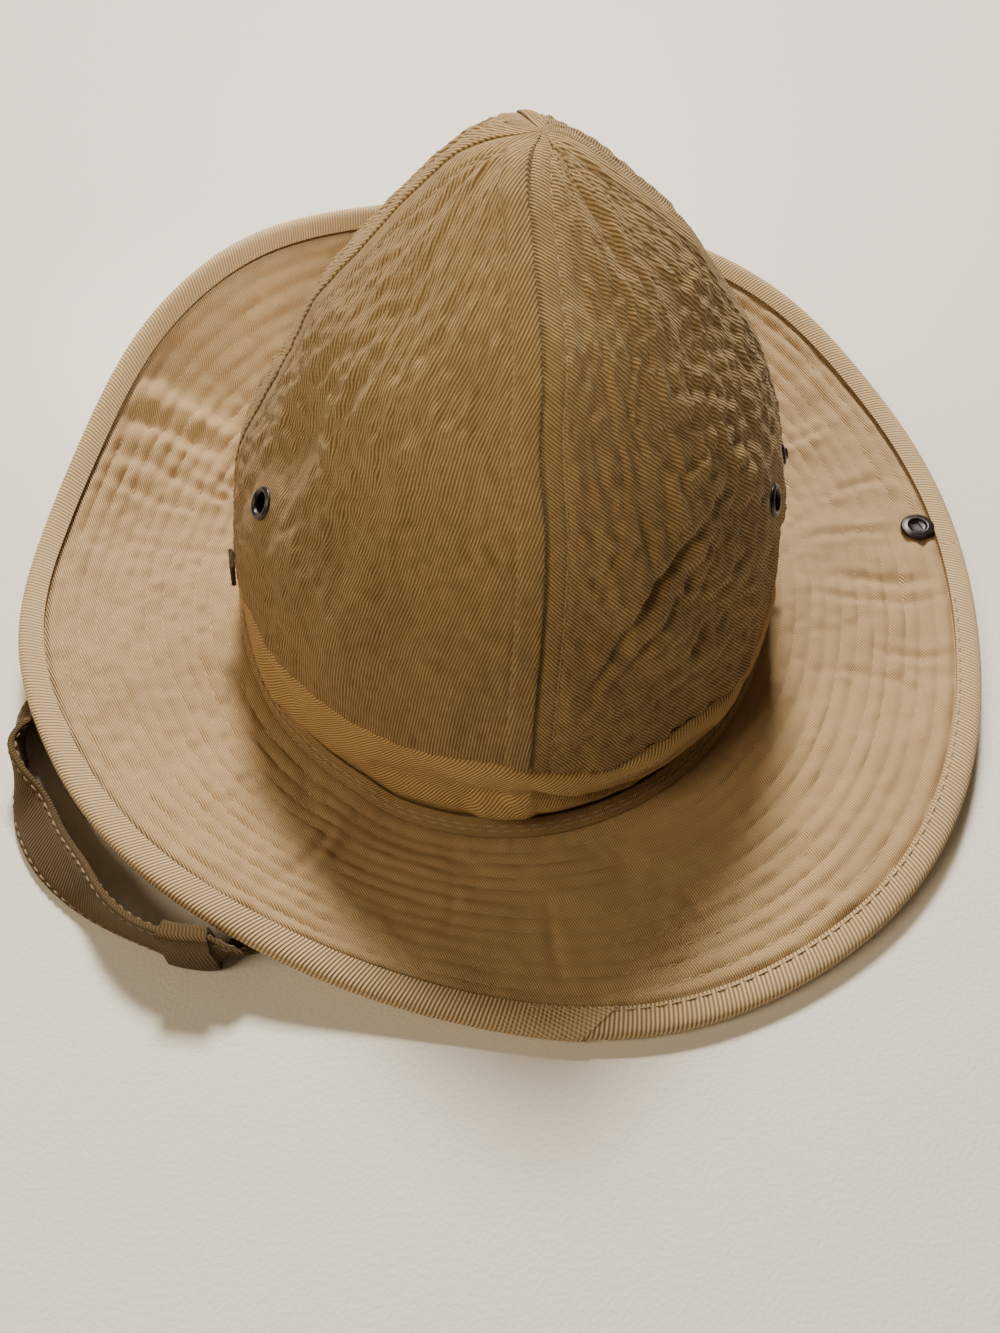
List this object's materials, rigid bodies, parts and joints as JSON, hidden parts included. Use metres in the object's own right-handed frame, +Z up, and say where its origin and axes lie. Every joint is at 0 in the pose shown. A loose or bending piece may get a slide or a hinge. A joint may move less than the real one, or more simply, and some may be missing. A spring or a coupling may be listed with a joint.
{
  "type": "bush hat",
  "caption": "Soft four-gore bush hat in khaki cotton twill with a quilted brim, a press stud and a cloth chin strap, lying as it rests on a table.",
  "frame": {"origin": "middle of the hat's outline seen from above, in the plane that the flat ring round the head opening lies on", "axes": "+X from the side with the dark tab to the side with the press stud (right in the picture), +Y from the front of the hat to its turned-up back, +Z up to the top of the crown"},
  "size_m": [0.3056, 0.3118, 0.1503],
  "materials": {
    "crown_twill": "khaki cotton twill, matt",
    "band_twill": "khaki cotton twill, matt, slack and creased",
    "tape_twill": "khaki cotton tape with two rows of stitches",
    "brim_twill": "khaki cotton twill, quilted in rings",
    "binding_twill": "bias tape in ribbed cotton",
    "strap_twill": "khaki cotton twill, folded and stitched",
    "tab_cloth": "dark brown cloth",
    "gunmetal": "dark oxidised press stud and eyelets, half gloss"
  },
  "bodies": {
    "root": {"crown_gore_front_left": "crown_twill", "crown_gore_front_right": "crown_twill", "crown_gore_back_left": "crown_twill", "crown_gore_back_right": "crown_twill", "hat_band": "band_twill", "brim_seam_tape": "tape_twill", "brim": "brim_twill", "brim_binding": "binding_twill", "binding_join": "binding_twill", "eyelet_left": "gunmetal", "eyelet_right": "gunmetal", "snap_socket": "gunmetal", "snap_cap": "gunmetal", "snap_stud": "gunmetal", "side_tab": "tab_cloth", "chin_strap": "strap_twill", "strap_keeper": "strap_twill"}
  },
  "joints": []
}
